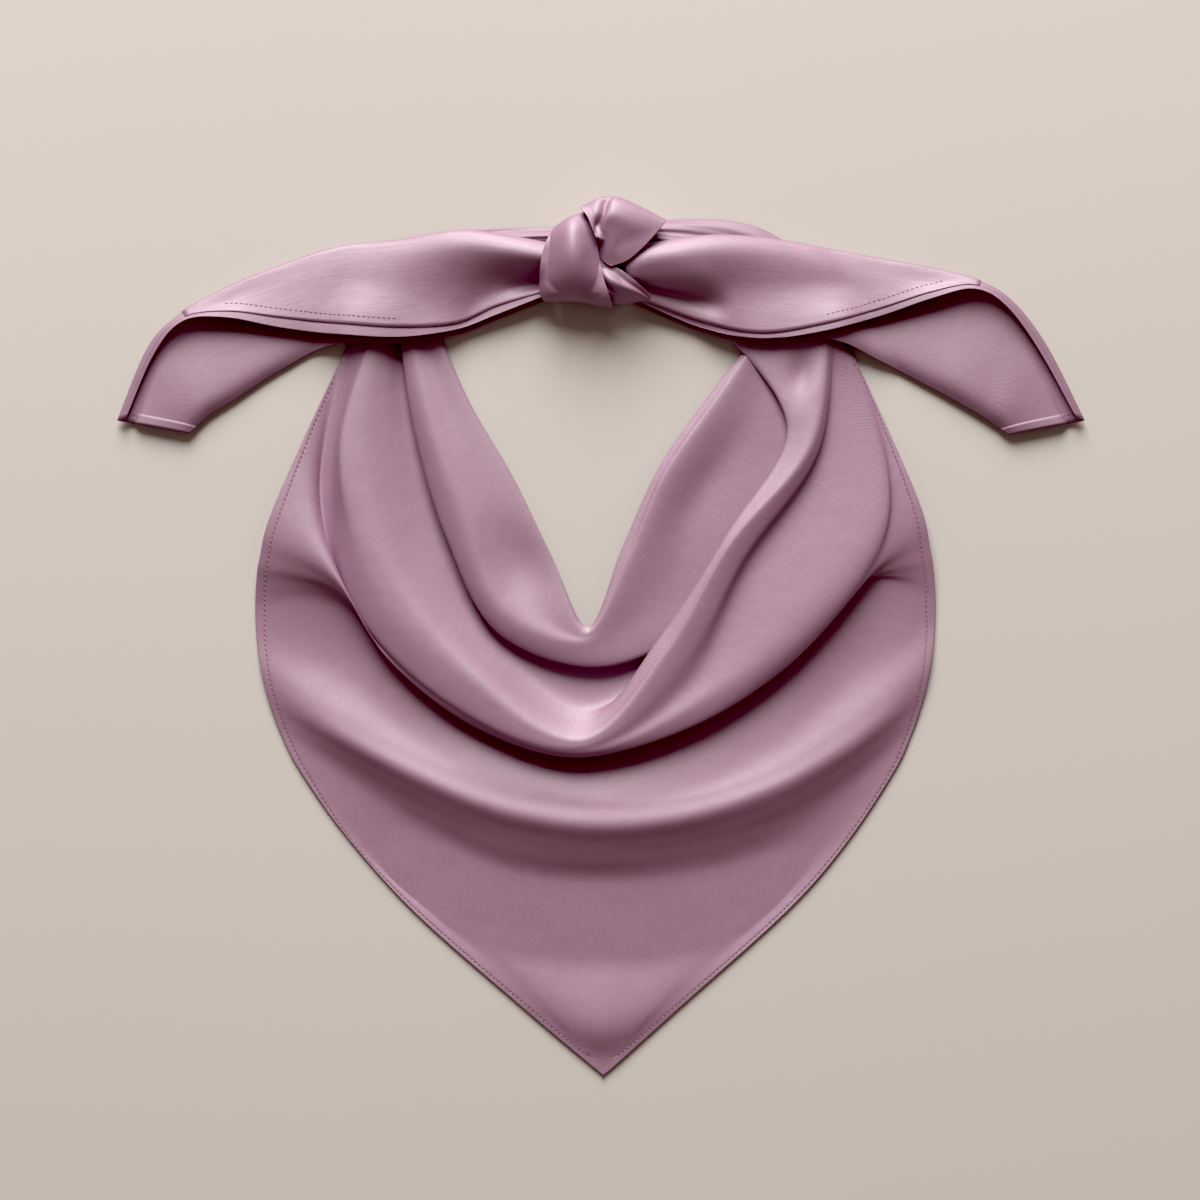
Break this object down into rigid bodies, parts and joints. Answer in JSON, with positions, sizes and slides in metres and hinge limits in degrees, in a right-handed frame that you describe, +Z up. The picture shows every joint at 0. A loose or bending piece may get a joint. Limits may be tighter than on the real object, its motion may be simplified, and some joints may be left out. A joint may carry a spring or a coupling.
{
  "type": "neckerchief",
  "caption": "Satin neckerchief folded on its diagonal into a draped bib, its two ends tied in a knot, lying flat.",
  "frame": {"origin": "middle of the outline seen from above, on the surface that the cloth lies on", "axes": "+Z up from the surface, +Y from the bib's point towards the knot, +X along the two free ends"},
  "size_m": [0.4244, 0.3854, 0.0277],
  "materials": {
    "satin": "mauve satin, smooth side, broad soft sheen",
    "satin_back": "mauve satin, wrong side, softer sheen",
    "hem": "narrow turned hem with a row of stitches"
  },
  "bodies": {
    "root": {"bib": "satin", "hem_bib_left": "hem", "hem_bib_right": "hem", "neck_band_left": "satin", "neck_band_right": "satin", "tail_left_outer": "satin", "tail_left_inner": "satin_back", "hem_tail_left": "hem", "tail_right_outer": "satin", "tail_right_inner": "satin_back", "hem_tail_right": "hem", "knot_core": "satin", "knot_roll": "satin", "knot_wrap": "satin", "knot_fan": "satin"}
  },
  "joints": []
}
